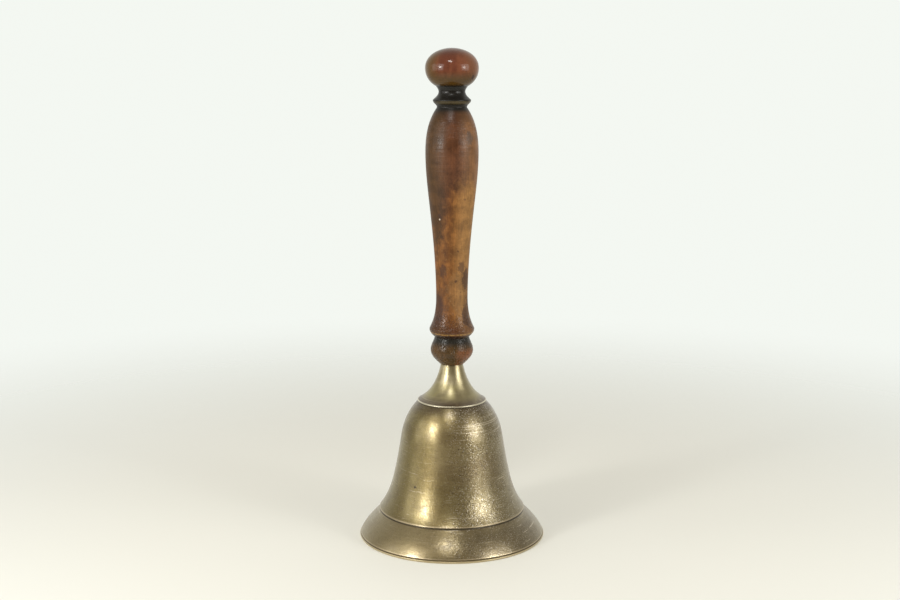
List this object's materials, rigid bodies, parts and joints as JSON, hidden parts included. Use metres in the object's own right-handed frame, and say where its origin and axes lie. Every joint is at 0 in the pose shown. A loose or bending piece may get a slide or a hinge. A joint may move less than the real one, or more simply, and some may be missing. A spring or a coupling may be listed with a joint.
{
  "type": "hand bell",
  "caption": "Brass hand bell on a turned wooden handle, with a trumpet neck, a flared skirt and an iron clapper that swings inside.",
  "frame": {"origin": "on the bell's axis, in the plane of the rim that the bell stands on", "axes": "+Z along the axis, from the rim up to the knob; +X along the clapper's pin"},
  "size_m": [0.09, 0.09, 0.2347],
  "materials": {
    "turned_wood": "old varnish over stained maple, worn through to bare wood on one side of the grip",
    "neck_brass": "worn bright over an aged tone",
    "bell_brass": "aged satin, finely scratched round the bell",
    "steel": "dull, lightly rusted",
    "dark_iron": "dark, forged"
  },
  "bodies": {
    "bell": {"wood_handle": "turned_wood", "brass_neck": "neck_brass", "bell_shell": "bell_brass", "handle_stud": "steel", "crown_washer": "steel", "crown_nut": "steel", "keeper_washer": "steel"},
    "yoke": {"swivel_yoke": "dark_iron", "clapper_pin": "steel"},
    "clapper": {"clapper_rod": "dark_iron", "clapper_ball": "dark_iron"}
  },
  "joints": [
    {"name": "yoke_swivel", "type": "hinge", "parent": "bell", "child": "yoke", "pos_m": [0, 0, 0.0584], "axis": [0, 0, 1], "continuous": true},
    {"name": "clapper_swing", "type": "hinge", "parent": "yoke", "child": "clapper", "pos_m": [0, 0, 0.051], "axis": [1, 0, 0], "range_deg": [-31, 31]}
  ]
}
